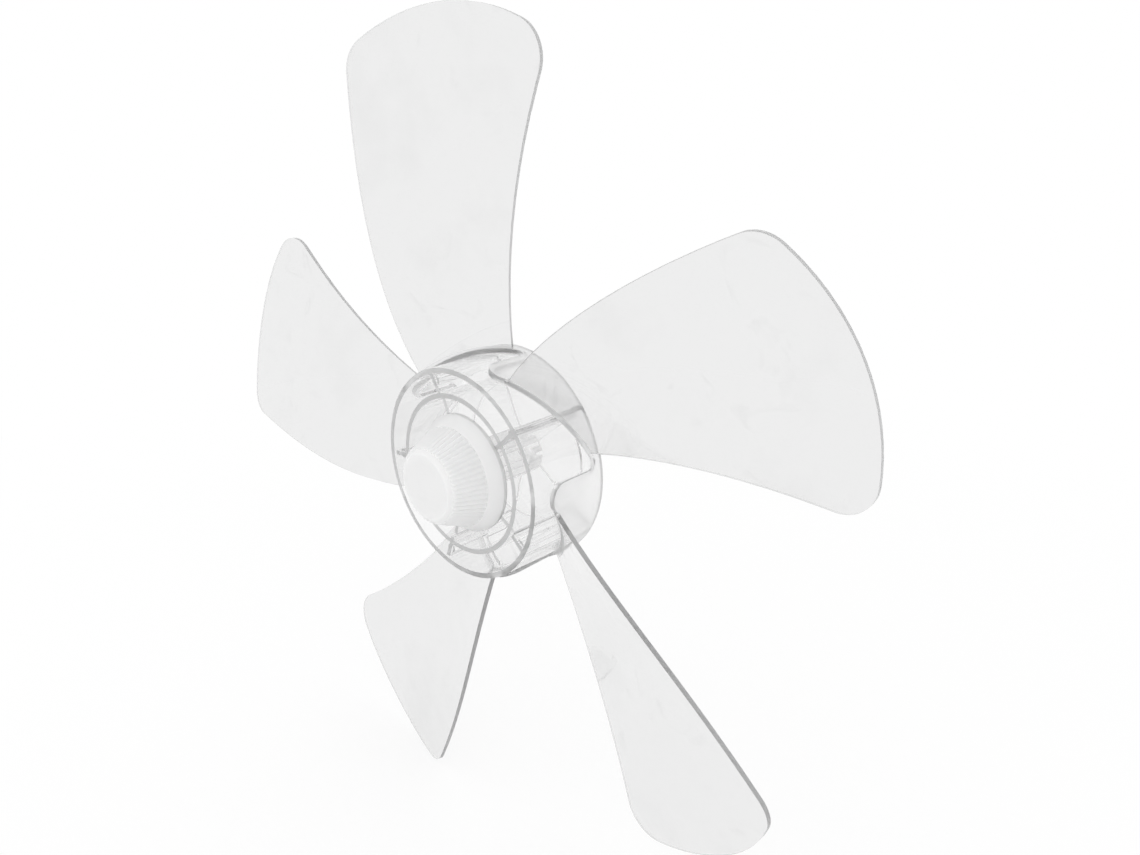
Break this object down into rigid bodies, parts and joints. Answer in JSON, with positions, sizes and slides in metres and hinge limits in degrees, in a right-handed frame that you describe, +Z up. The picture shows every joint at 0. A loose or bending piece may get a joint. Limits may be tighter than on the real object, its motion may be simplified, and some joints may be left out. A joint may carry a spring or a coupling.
{
  "type": "fan blade",
  "caption": "Clear moulded fan wheel with broad twisted blades on a ribbed open hub, and a milky flanged spinner nut with a finger grip seated at its centre.",
  "frame": {"origin": "on the shaft axis at the bottom of the cross-pin slot in the back of the hub", "axes": "+Y along the shaft bore, out of the back of the wheel; the front with the nut faces -Y; +Z up, first blade near the top as in the picture"},
  "size_m": [0.3673, 0.0591, 0.3686],
  "materials": {
    "clear_plastic": "clear gloss styrene plastic",
    "milky_plastic": "milky satin plastic"
  },
  "bodies": {
    "root": {"fan_wheel": "clear_plastic", "spinner_nut": "milky_plastic"}
  },
  "joints": []
}
